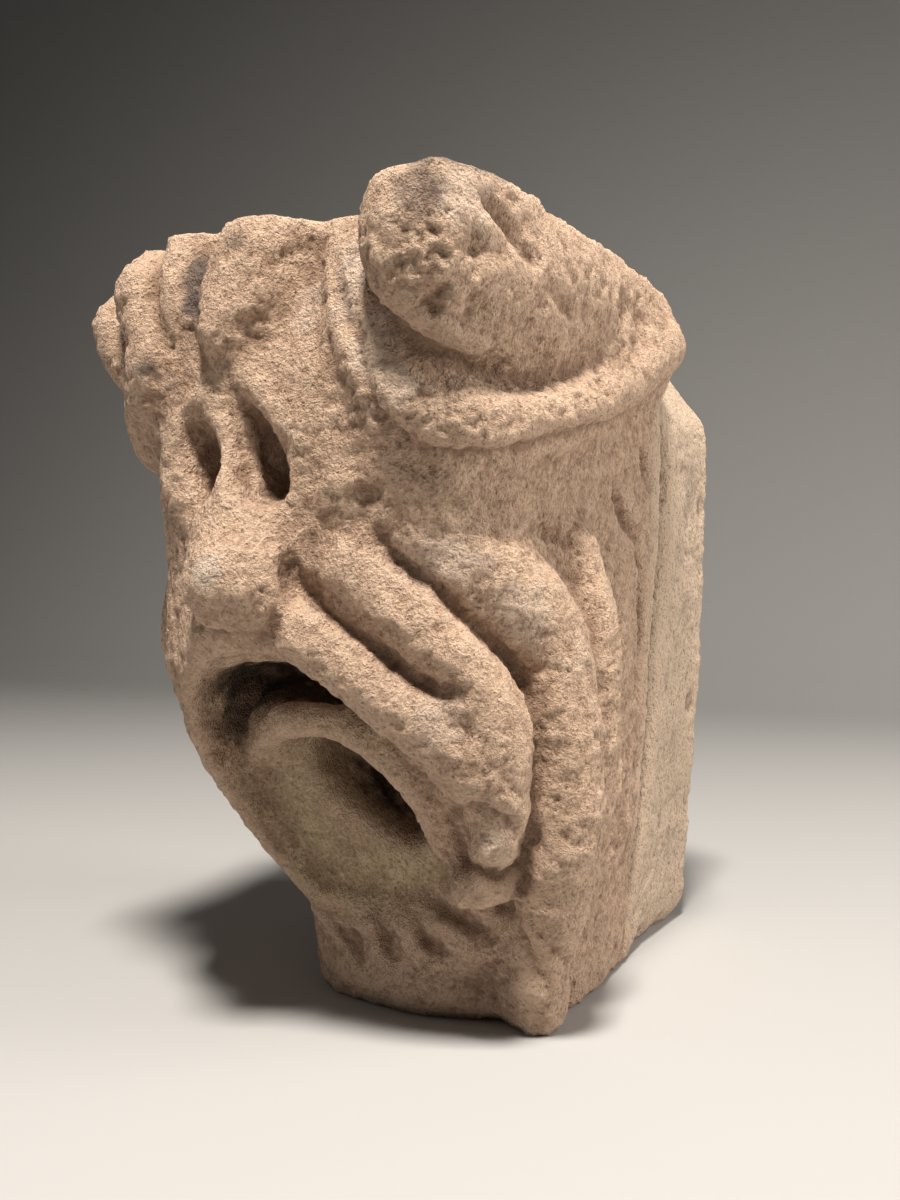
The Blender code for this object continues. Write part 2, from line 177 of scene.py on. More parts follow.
STROKES = (
    # between the near curl's ring and its ball, filled towards the back and then cut
    Stroke(Cut.RIDGE, 9, 1.6, (
        (84, -252, 91, 0.2), (91, -233, 91, 0.7), (96, -203, 96), (98, -183, 105), (100, -155, 119, 0.9),
        (101, -124, 132, 0.5))),
    Stroke(Cut.CREASE, 5.0, 3.0, (
        (50, -266, 146), (53, -270, 132), (56, -273, 118), (61, -276, 108), (70, -273, 100),
        (80, -262, 93), (86, -248, 90, 0.9), (93, -225, 91, 0.6), (97, -195, 99, 0.3))),
    # under the ring
    Stroke(Cut.CREASE, 5, 2.4, (
        (33, -262, 133, 0.5), (38, -268, 122), (49, -277, 102), (56, -278, 84), (59, -275, 74),
        (66, -271, 68), (77, -265, 63), (90, -254, 62), (97, -241, 65), (104, -214, 72),
        (99, -170, 84), (95, -120, 96, 0.5))),
    # the facet's edge on the ball, the small lobe's rim and the wave behind it
    Stroke(Cut.RIDGE, 6, 2.0, ((87, -287, 150), (88, -287, 143), (90, -287, 130, 0.4))),
    Stroke(Cut.CREASE, 5.5, 2.6, (
        (98, -272, 141, 0.5), (100, -267, 138), (102, -259, 134), (103, -253, 129),
        (103, -247, 126, 0.4))),
    Stroke(Cut.GOUGE, 6, 1.6, (
        (103, -247, 126, 0.4), (104, -236, 119), (105, -222, 116), (106, -205, 117, 0.4))),
    Stroke(Cut.GOUGE, 6, 1.5, ((99, -262, 142, 0.4), (101, -252, 139), (103, -240, 134, 0.4))),
    # between the lip and the fold, and between the fold and the cheek
    Stroke(Cut.CREASE, 4.2, 3.4, (
        (21, -269, 25, 0.7), (25, -266, 17), (36, -264, 7), (47, -261, 0), (56, -259, -7),
        (66, -255, -14, 0.9), (78, -255, -17, 0.2))),
    Stroke(Cut.CREASE, 4.2, 3.4, (
        (51, -265, 39, 0.3), (57, -260, 28, 0.8), (67, -256, 20), (76, -251, 10), (82, -242, 1),
        (87, -232, -8), (91, -228, -20), (93, -226, -33), (92, -226, -46), (90, -225, -58),
        (86, -218, -70), (82, -212, -85), (75, -207, -101, 0.5))),
    # round the underside of the bulb
    Stroke(Cut.GOUGE, 6.0, 3.0, (
        (-16, -276, 4, 0.5), (-9, -279, 0), (0, -279, -3), (10, -276, 0), (18, -273, 7),
        (20, -272, 17, 0.8), (19, -270, 28, 0.4))),
    # the undercut edge of the lip above the gum
    Stroke(Cut.CREASE, 4.0, 2.4, (
        (-22, -262, -4, 0.5), (-10, -262, -6), (2, -262, -7), (10, -262, -11), (18, -262, -16),
        (29, -262, -20), (38, -258, -23), (45, -252, -28), (54, -250, -35), (60, -248, -41),
        (64, -244, -49), (68, -242, -57, 0.6))),
    # the cheek runs on round to the side
    Stroke(Cut.RIDGE, 13, 2.6, (
        (97, -192, 30, 0.1), (100, -187, 12, 0.7), (100, -185, -8), (99, -183, -30), (97, -181, -60),
        (93, -179, -90, 0.8), (88, -177, -115, 0.5))),
    # the nostrils' inner sides
    Stroke(Cut.RIDGE, 5.0, 3.0, ((-5, -266, 84, 0.6), (-4, -262, 74), (-3, -261, 64), (0, -262, 56, 0.6))),
    # above the cheek, where the surface is broken
    Stroke(Cut.GOUGE, 4.5, 1.4, (
        (88, -222, 40, 0.3), (91, -214, 38), (93, -203, 35, 0.4))),
    # the small crease beside the nose
    Stroke(Cut.CREASE, 4.5, 1.0, ((54, -268, 52, 0.4), (48, -268, 45), (44, -267, 39, 0.4))),
    # along the tuft's lower edge and down its far edge to the nose
    Stroke(Cut.CREASE, 5.0, 1.0, (
        (18, -255, 141, 0.5), (11, -264, 134), (4, -270, 127), (-3, -275, 119, 0.5))),
    Stroke(Cut.CREASE, 6.0, 1.4, (
        (-18, -256, 149, 0.7), (-22, -265, 140), (-23, -268, 132), (-23, -269, 122),
        (-18, -274, 111, 0.7), (-12, -274, 102, 0.4))),
    # between the lobes of the far curl
    Stroke(Cut.CREASE, 5.5, 3.5, (
        (-71, -245, 142), (-69, -256, 128), (-66, -258, 112), (-58, -258, 98, 0.5))),
    Stroke(Cut.CREASE, 5.5, 3.0, (
        (-46, -250, 149), (-45, -262, 138), (-41, -268, 122), (-37, -269, 108, 0.4))),
    # round the corner teeth
    Stroke(Cut.CREASE, 3.6, 2.6, (
        (66, -235, -62, 0.5), (74, -244, -58), (81, -245, -57), (87, -241, -60), (90, -236, -65),
        (86, -226, -73, 0.6))),
    Stroke(Cut.CREASE, 3.6, 3.0, (
        (64, -231, -71, 0.5), (66, -228, -78), (72, -228, -82), (78, -225, -84), (83, -220, -81, 0.7))),
    Stroke(Cut.CREASE, 3.6, 3.0, (
        (55, -222, -83, 0.5), (60, -225, -90), (66, -222, -96), (71, -212, -101), (77, -208, -98, 0.6))),
    Stroke(Cut.CREASE, 3.4, 2.0, ((62, -238, -63, 0.6), (63, -235, -69), (65, -230, -76, 0.5))),
    # the notches of the lower lip and the locks beside them
    *(Stroke(Cut.CREASE, 4.0, 2.8, knots) for knots in (
        ((-11, -200, -113, 0.5), (-4, -198, -124), (6, -198, -132, 0.4)),
        ((12, -202, -111, 0.5), (16, -201, -120), (21, -201, -128, 0.4)),
        ((31, -203, -110, 0.5), (37, -203, -119), (47, -204, -124, 0.4)),
        ((41, -202, -104, 0.5), (52, -204, -108), (65, -204, -113, 0.4)),
        ((81, -209, -103, 0.5), (83, -206, -113), (85, -200, -127, 0.4)),
        ((87, -208, -102, 0.5), (89, -203, -112), (91, -193, -124, 0.4)),
    )),
    Stroke(Cut.RIDGE, 4.5, 1.3, (
        (-17, -201, -117, 0.6), (-4, -200, -118), (13, -203, -116), (30, -205, -114),
        (44, -205, -110, 0.6))),
    # the far rim of the mouth
    Stroke(Cut.CREASE, 3.5, 1.5, ((-31, -217, -75, 0.4), (-28, -214, -83), (-25, -210, -91, 0.4))),
    # the inner roll of the throat
    Stroke(Cut.CREASE, 4.0, 2.5, ((0, -202, -48, 0.6), (10, -194, -56), (22, -194, -70, 0.7))),
    # hollows and lobes of the side
    Stroke(Cut.GOUGE, 6, 3.0, ((91, -106, 80, 0.4), (90, -98, 73), (89, -88, 64, 0.4))),
    Stroke(Cut.GOUGE, 7, 3.5, ((92, -143, 60, 0.5), (91, -135, 52), (90, -124, 47), (89, -109, 43, 0.4))),
    Stroke(Cut.RIDGE, 15, 2.4, ((90, -130, 32, 0.5), (91, -128, 8), (90, -124, -18, 0.6))),
    Stroke(Cut.CREASE, 5, 1.8, (
        (90, -148, 38, 0.4), (92, -157, 25), (92, -153, 9), (91, -148, -7), (91, -144, -26, 0.4))),
    Stroke(Cut.CREASE, 5, 2.4, (
        (89, -106, 38, 0.4), (87, -98, 18), (87, -96, -6), (87, -104, -28, 0.5))),
    Stroke(Cut.GOUGE, 7, 1.4, (
        (91, -150, -40, 0.4), (89, -140, -62), (87, -135, -84), (87, -140, -106, 0.4))),
    Stroke(Cut.CREASE, 5.5, 3.5, (
        (88, -70, 104, 0.6), (89, -66, 80), (88, -68, 40), (86, -74, -5), (84, -74, -47),
        (81, -80, -85), (79, -90, -120), (78, -100, -148, 0.6))),
)
PRESSES = (
    # broken pits in the near curl's ball
    Press((82, -291, 128), 7, 1.4, 0.8), Press((78, -291, 119), 7, 1.8, 0.8),
    Press((86, -284, 108), 8, 2.2, 0.9), Press((94, -270, 108), 7, 1.8, 0.8),
    Press((91, -272, 104), 7, 1.8, 0.8), Press((83, -283, 106), 6, 1.8, 0.8),
    Press((96, -276, 124), 10, 3.4, 0.4), Press((100, -266, 125), 8, 2.0, 0.4),
    Press((104, -166, 128), 12, 3.0, 0.5), Press((102, -146, 128), 12, 3.0, 0.5),
    # chips along the ring
    Press((59, -279, 91), 6, 1.6, 0.9), Press((52, -276, 102), 6, 1.2, 0.9),
    Press((74, -275, 78), 7, 1.4, 0.9), Press((98, -249, 73), 7, 1.3, 0.9),
    Press((105, -214, 83), 8, 1.6, 0.9), Press((107, -190, 92), 9, 1.6, 0.9),
    # the lump beside the nose, the lower tooth, the knob of the chin and the hollow by it
    Press((38, -270, 52), 12, -1.8), Press((69, -231, -88), 9, -1.6),
    Press((79, -204, -131), 10, -2.6), Press((56, -199, -137), 12, 3.4),
    # above the bulb, and the middle of the chin
    Press((5, -279, 46), 3, -1.2), Press((20, -196, -132), 13, -1.5),
    # lumps and breaks of the lower side
    Press((88, -128, -63), 13, -2.6, 0.6), Press((86, -112, -84), 12, -2.2, 0.6),
    Press((84, -95, -60), 10, 2.4, 0.6), Press((87, -150, -100), 13, 2.0, 0.6),
    # worn places on the folds and the brow
    Press((12, -268, 105), 16, 1.4), Press((60, -262, 45), 12, 1.2), Press((98, -216, -20), 14, 1.2),
    # the tail's chipped edge
    Press((85, -14, -38), 9, 2.2, 0.5), Press((88, -10, 60), 9, 1.6, 0.5),
    Press((83, -6, -90), 9, 1.8, 0.5),
    Press((77, -30, -150), 12, 4.0, 0.3), Press((79, -62, -150), 14, 5.0, 0.3),
)
ROUGH = (
    Patch((84, -284, 112), (16, 14, 22)), Patch((92, -255, 100), (16, 26, 13), 0.7),
    Patch((70, -272, 78), (26, 16, 14), 0.5), Patch((104, -205, 82), (8, 40, 16), 0.5),
    Patch((92, -205, 38), (14, 26, 14), 0.6), Patch((90, -150, -80), (14, 40, 50), 0.6),
)
SOOT = (
    Patch((-23, -266, 134), (6, 8, 7), 0.85), Patch((-23, -268, 121), (5, 8, 7), 0.85),
    Patch((-3, -275, 141), (5, 8, 4), 0.5), Patch((82, -291, 141), (9, 9, 10), 0.55),
    Patch((88, -287, 152), (14, 12, 4), 0.75), Patch((95, -272, 151), (14, 16, 3), 0.6),
    Patch((-43, -274, 99), (5, 6, 4), 0.6), Patch((88, -29, 70), (8, 11, 15), 0.3),
    Patch((86, -43, 38), (8, 7, 10), 0.2), Patch((85, -31, 8), (8, 8, 12), 0.22),
    Patch((83, -36, -60), (8, 8, 10), 0.2), Patch((80, -33, -105), (8, 9, 9), 0.22),
)
# painted shade: near-black patches in the recess under the lip, at its far end, in the throat and in the
# nostrils, where shade falls
PAINTED_DEEP_SHADE = (
    Patch((-20, -228, -19), (24, 20, 12), 1.0), Patch((10, -226, -22), (20, 16, 7), 0.9),
    Patch((-36, -224, -34), (7, 14, 12), 0.7), Patch((22, -193, -56), (21, 13, 16), 1.0),
    Patch((8, -262, 68), (5, 10, 13), 0.5), Patch((-18, -266, 66), (5, 9, 12), 0.4),
)
PALE = (
    Patch((94, -278, 139), (12, 14, 11), 0.4), Patch((44, -270, 124), (8, 10, 20), 0.5),
    Patch((56, -277, 98), (9, 10, 13), 0.5),
    Patch((66, -278, 84), (9, 9, 8), 0.45), Patch((1, -292, 24), (6, 6, 6), 0.9),
    Patch((22, -262, 118), (6, 8, 15), 0.45), Patch((74, -257, 27), (17, 12, 8), 0.45),
    Patch((92, -234, 9), (10, 14, 12), 0.4), Patch((72, -258, -27), (10, 8, 9), 0.35),
    Patch((36, -264, 13), (8, 8, 6), 0.35), Patch((84, -240, -71), (6, 6, 6), 0.45),
    Patch((83, -228, -82), (6, 6, 6), 0.3), Patch((99, -212, -12), (10, 12, 20), 0.3),
)
OCHRE = (
    Patch((6, -215, -66), (46, 34, 48), 0.85), Patch((30, -240, -32), (30, 16, 16), 0.6),
    Patch((-26, -240, -24), (16, 16, 24), 0.6), Patch((20, -200, -104), (34, 12, 12), 0.6),
)
YELLOW = (
    Patch((-14, -208, -84), (10, 10, 14), 0.7), Patch((22, -203, -92), (16, 9, 11), 0.8),
    Patch((44, -207, -86), (9, 9, 9), 0.6), Patch((2, -204, -102), (20, 9, 8), 0.6),
    Patch((-12, -214, -60), (10, 10, 9), 0.45),
)


@dataclass
class StoneSkin:
    """The stone's fine skin while it is being carved, as arrays of places and normals in metres."""

    mesh: bmesh.types.BMesh
    places: np.ndarray = field(init=False)
    normals: np.ndarray = field(init=False)
    path_step: float = 1.5
    crumb_size: float = 0.004
    edge_size: float = 0.006
    patch_end: float = 1.15
    patch_fade: float = 0.45
    crest_rounds: int = 14
    crest_depth: float = 0.0009

    def __post_init__(self) -> None:
        """Reads the skin for the first time."""
        self.read()

    def read(self) -> None:
        """Takes places and normals from the mesh."""
        self.mesh.normal_update()
        self.places = np.array([vert.co for vert in self.mesh.verts])
        self.normals = np.array([vert.normal for vert in self.mesh.verts])

    def write(self) -> None:
        """Puts the places back into the mesh."""
        for vert, place in zip(self.mesh.verts, self.places):
            vert.co = place

    def smooth(self, rounds: int) -> None:
        """Softens the skin.

        Args:
            rounds: how many times every place moves halfway to the mean of its neighbours.
        """
        for _ in range(rounds):
            bmesh.ops.smooth_vert(self.mesh, verts=self.mesh.verts, factor=0.5, use_axis_x=True,
                                  use_axis_y=True, use_axis_z=True)
        self.read()

    def carve(self, strokes: tuple[Stroke, ...]) -> None:
        """Runs each stroke along the skin.

        Args:
            strokes: the strokes, in the order in which they are cut.
        """
        tree = BVHTree.FromBMesh(self.mesh)
        for stroke in strokes:
            half_width = stroke.half_width * MILLIMETRE
            path = stroke.line(self.path_step)
            line = np.array([tree.find_nearest(place.to_3d() * MILLIMETRE)[0] for place in path])
            strength = np.array([place[3] for place in path])
            low, high = line.min(axis=0) - half_width, line.max(axis=0) + half_width
            near = np.flatnonzero(((self.places > low) & (self.places < high)).all(axis=1))
            gaps = np.linalg.norm(self.places[near, None, :] - line[None, :, :], axis=2)
            closest = gaps.argmin(axis=1)
            share = gaps[np.arange(len(near)), closest] / half_width
            depth = stroke.cut.fall(share) * strength[closest] * stroke.depth * MILLIMETRE
            self.places[near] -= self.normals[near] * depth[:, None]
        self.write()
        self.read()

    def press(self, presses: tuple[Press, ...]) -> None:
        """Presses each dent, or raises each boss.

        Args:
            presses: the dents, in the order in which they are made.
        """
        for mark in presses:
            gap = np.linalg.norm(self.places - np.array(metres(*mark.place)), axis=1)
            near = np.flatnonzero(gap < mark.radius * MILLIMETRE)
            share = gap[near] / (mark.radius * MILLIMETRE)
            fall = np.clip(1 - share ** 2, 0, 1) ** 2
            if mark.rough:
                grain = np.array([noise.noise(Vector(place) / self.crumb_size)
                                  for place in self.places[near]])
                fall *= 1 + mark.rough * grain
            self.places[near] -= self.normals[near] * (fall * mark.depth * MILLIMETRE)[:, None]
        self.write()
        self.read()

    def swell(self, wave: Wave) -> np.ndarray:
        """A smooth random wave over the skin, without its height.

        Args:
            wave: the wave.

        Returns:
            One value for each place, round 0.
        """
        size = wave.length * MILLIMETRE
        rows = self.places / (size, size, size / wave.flatness) + wave.shift
        return np.array([noise.noise(Vector(row)) for row in rows])

    def relief(self, waves: tuple[Wave, ...]) -> np.ndarray:
        """The sum of some waves, in millimetres."""
        return sum(self.swell(wave) * wave.height for wave in waves)

    def weather(self, weathering: Weathering, smoothness: np.ndarray, breakage: np.ndarray) -> None:
        """Roughens the skin as coarse weathered sandstone is.

        Args:
            weathering: the relief that it leaves.
            smoothness: for each place, how far it is spared, from 0 to 1.
            breakage: for each place, how far it is broken rather than worn, from 0 to 1.
        """
        lumps = self.relief(weathering.lumps)
        grit = self.relief(weathering.grit)
        pits = np.clip(self.swell(weathering.pits) - weathering.pit_start, 0, 1) * weathering.pits.height
        breaks = np.abs(self.swell(weathering.breaks)) * weathering.breaks.height - weathering.break_rest
        depth = lumps + grit * (1 + weathering.broken_grit * breakage) - pits - breaks * breakage
        spared = 1 - weathering.sparing * smoothness
        self.places += self.normals * (depth * spared * MILLIMETRE)[:, None]
        self.write()
        self.read()

    def hollowness(self) -> np.ndarray:
        """How far each place lies in a hollow, from -1 on a crest to 1 in a groove.

        Returns:
            One value for each place.
        """
        pairs = np.array([[vert.index for vert in edge.verts] for edge in self.mesh.edges])
        count = np.bincount(pairs.ravel(), minlength=len(self.places))
        smooth = self.places.copy()
        for _ in range(self.crest_rounds):
            total = np.zeros_like(smooth)
            for axis in range(3):
                total[:, axis] = (np.bincount(pairs[:, 0], smooth[pairs[:, 1], axis], len(smooth))
                                  + np.bincount(pairs[:, 1], smooth[pairs[:, 0], axis], len(smooth)))
            smooth = 0.5 * smooth + 0.5 * total / count[:, None]
        rise = ((smooth - self.places) * self.normals).sum(axis=1)
        return np.clip(rise / self.crest_depth, -1, 1)

    def coverage(self, patches: tuple[Patch, ...], ragged: float = 0.35) -> np.ndarray:
        """How far each place is covered by a set of patches.

        Args:
            patches: the patches.
            ragged: how much their edges wander.

        Returns:
            One value for each place, from 0 to 1.
        """
        cover = np.zeros(len(self.places))
        wander = np.array([noise.fractal(Vector(place) / self.edge_size, 0.8, 2.0, 3)
                           for place in self.places])
        for patch in patches:
            offset = (self.places - np.array(metres(*patch.place))) / (np.array(patch.radii) * MILLIMETRE)
            share = np.linalg.norm(offset, axis=1) + ragged * wander
            fade = np.clip((self.patch_end - share) / self.patch_fade, 0, 1)
            cover = np.maximum(cover, patch.strength * fade)
        return cover


@dataclass(frozen=True)
class Sandstone:
    """Coarse pinkish-buff sandstone, with its grain, pits and stains, painted shade in its grooves and
    hollows and painted highlight on its crests.
    """

    body: tuple[float, float, float] = (0.47, 0.305, 0.205)
    # light is both the stone's own paler cloud, mottle and grain and the painted highlight on its crests
    light: tuple[float, float, float] = (0.66, 0.48, 0.35)
    # dark is both the stone's own darker mottle, grain and pits and the painted shade in its grooves
    dark: tuple[float, float, float] = (0.21, 0.125, 0.08)
    ochre: tuple[float, float, float] = (0.36, 0.27, 0.16)
    yellow: tuple[float, float, float] = (0.56, 0.47, 0.27)
    grey: tuple[float, float, float] = (0.66, 0.53, 0.40)
    soot: tuple[float, float, float] = (0.06, 0.055, 0.055)
    pale: tuple[float, float, float] = (0.68, 0.60, 0.52)
    # painted shade: the near-black laid in the mouth's recess, the throat and the nostrils
    deep: tuple[float, float, float] = (0.035, 0.02, 0.012)
    roughness: float = 0.95

    def material(self) -> bpy.types.Material:
        """The finished material.

        Returns:
            The material, which reads Object coordinates and the piece's own attributes.
        """
        graph = MaterialGraph("corbel_sandstone")
        place = graph.object_place()
        cloud = graph.noise(place, 22, 3, 0.55)
        mottle = graph.noise(place, 130, 3, 0.6)
        grain = graph.noise(place, 620, 3, 0.7)
        grit = graph.noise(place, 1500, 2, 0.7)
        pits = graph.cells(graph.stretched(place, (1.0, 1.0, 0.55)), 560)

        tone = graph.mix(graph.band(cloud, 0.35, 0.68), self.body, self.light, 0.35)
        tone = graph.blend(graph.band(mottle, 0.42, 0.66), tone, self.light, 0.45)
        tone = graph.blend(graph.band(mottle, 0.56, 0.34), tone, self.dark, 0.30)
        tone = graph.blend(graph.attribute("aged"), tone, self.grey, 0.75)
        tone = graph.blend(graph.attribute("ochre"), tone, self.ochre, 0.85)
        tone = graph.blend(graph.attribute("yellow"), tone, self.yellow, 0.7)
        tone = graph.blend(graph.attribute("pale"), tone, self.pale, 0.70)
        tone = graph.blend(graph.band(grain, 0.52, 0.66), tone, self.light, 0.75)
        tone = graph.blend(graph.band(grain, 0.48, 0.34), tone, self.dark, 0.75)
        tone = graph.blend(graph.band(grit, 0.58, 0.70), tone, self.pale, 0.45)
        tone = graph.blend(graph.band(pits, 0.18, 0.04), tone, self.dark, 0.40)
        # painted shade: darker in grooves and creases, by how far each place lies in a hollow
        tone = graph.blend(graph.attribute("hollow"), tone, self.dark, 0.70)
        # painted highlight: lighter on the crests
        tone = graph.blend(graph.attribute("crest"), tone, self.light, 0.40)
        # painted shade: near-black in the recess under the lip, the throat and the nostrils
        tone = graph.blend(graph.attribute("deep"), tone, self.deep, 0.94)
        tone = graph.blend(graph.attribute("soot"), tone, self.soot, 0.85)
        graph.shade(tone, self.roughness)
        graph.bump(((grain, 1.0), (grit, 0.35), (graph.band(pits, 0.0, 0.3), 0.35),
                    (mottle, 1.4)), 0.0022, 1.0)
        return graph.material


class MaterialGraph:
    """A node material that is put together from plain steps."""

    def __init__(self, name: str) -> None:
        """Starts a Principled material of this name."""
        self.material = bpy.data.materials.new(name)
        self.material.use_nodes = True
        self.nodes = self.material.node_tree.nodes
        self.links = self.material.node_tree.links
        self.shader = self.nodes["Principled BSDF"]

    def object_place(self) -> bpy.types.NodeSocket:
        """The place on the piece, in its own metres."""
        return self.nodes.new("ShaderNodeTexCoord").outputs["Object"]

    def stretched(self, place: bpy.types.NodeSocket,
                  scale: tuple[float, float, float]) -> bpy.types.NodeSocket:
        """The place with its axes scaled, so that a pattern is stretched."""
        mapping = self.nodes.new("ShaderNodeMapping")
        mapping.inputs["Scale"].default_value = scale
        self.links.new(place, mapping.inputs["Vector"])
        return mapping.outputs["Vector"]

    def noise(self, place: bpy.types.NodeSocket, scale: float, detail: float,
              roughness: float) -> bpy.types.NodeSocket:
        """A cloudy value round one half.

        Args:
            place: where it is read.
            scale: waves to the metre.
            detail: how many finer waves it has.
            roughness: how strong they are.

        Returns:
            The value's socket.
        """
        node = self.nodes.new("ShaderNodeTexNoise")
        node.inputs["Scale"].default_value = scale
        node.inputs["Detail"].default_value = detail
        node.inputs["Roughness"].default_value = roughness
        self.links.new(place, node.inputs["Vector"])
        return node.outputs["Fac"]

    def cells(self, place: bpy.types.NodeSocket, scale: float) -> bpy.types.NodeSocket:
        """The distance to the nearest of scattered points, scale of them to the metre."""
        node = self.nodes.new("ShaderNodeTexVoronoi")
        node.inputs["Scale"].default_value = scale
        self.links.new(place, node.inputs["Vector"])
        return node.outputs["Distance"]

    def attribute(self, name: str) -> bpy.types.NodeSocket:
        """A value that the piece carries at each of its places."""
        node = self.nodes.new("ShaderNodeAttribute")
        node.attribute_name = name
        return node.outputs["Fac"]

    def band(self, value: bpy.types.NodeSocket, start: float, end: float) -> bpy.types.NodeSocket:
        """The value laid on 0 to 1 between a start and an end, which may be lower than the start."""
        node = self.nodes.new("ShaderNodeMapRange")
        node.inputs["From Min"].default_value = start
        node.inputs["From Max"].default_value = end
        self.links.new(value, node.inputs["Value"])
        return node.outputs["Result"]

    def mix(self, share: bpy.types.NodeSocket, under: tuple[float, float, float],
            over: tuple[float, float, float], strength: float) -> bpy.types.NodeSocket:
        """One colour laid over another.

        Args:
            share: how much of it shows, from 0 to 1.
            under: the colour below.
            over: the colour laid on.
            strength: how opaque it is where the share is 1.

        Returns:
            The colour's socket.
        """
        node = self.nodes.new("ShaderNodeMix")
        node.data_type = "RGBA"
        scaled = self.nodes.new("ShaderNodeMath")
        scaled.operation = "MULTIPLY"
        scaled.inputs[1].default_value = strength
        self.links.new(share, scaled.inputs[0])
        self.links.new(scaled.outputs[0], node.inputs["Factor"])
        node.inputs["A"].default_value = (*under, 1)
        node.inputs["B"].default_value = (*over, 1)
        return node.outputs["Result"]

    def blend(self, share: bpy.types.NodeSocket, under: bpy.types.NodeSocket,
              over: tuple[float, float, float], strength: float) -> bpy.types.NodeSocket:
        """One colour laid over a socket's colour, as mix does."""
        result = self.mix(share, (0, 0, 0), over, strength)
        self.links.new(under, result.node.inputs["A"])
        return result

    def shade(self, colour: bpy.types.NodeSocket, roughness: float) -> None:
        """Gives the shader its colour and roughness."""
        self.links.new(colour, self.shader.inputs["Base Color"])
        self.shader.inputs["Roughness"].default_value = roughness
        self.shader.inputs["Specular IOR Level"].default_value = 0.25

    def bump(self, layers: tuple[tuple[bpy.types.NodeSocket, float], ...], distance: float,
             strength: float) -> None:
        """Raises the surface by a sum of values.

        Args:
            layers: values, each with its share.
            distance: the height of a value of one, in metres.
            strength: how much of the bump is used.
        """
        total = None
        for value, share in layers:
            step = self.nodes.new("ShaderNodeMath")
            step.operation = "MULTIPLY_ADD"
            step.inputs[1].default_value = share
            self.links.new(value, step.inputs[0])
            if total is None:
                step.inputs[2].default_value = 0.0
            else:
                self.links.new(total, step.inputs[2])
            total = step.outputs[0]
        node = self.nodes.new("ShaderNodeBump")
        node.inputs["Strength"].default_value = strength
        node.inputs["Distance"].default_value = distance
        self.links.new(total, node.inputs["Height"])
        self.links.new(node.outputs["Normal"], self.shader.inputs["Normal"])


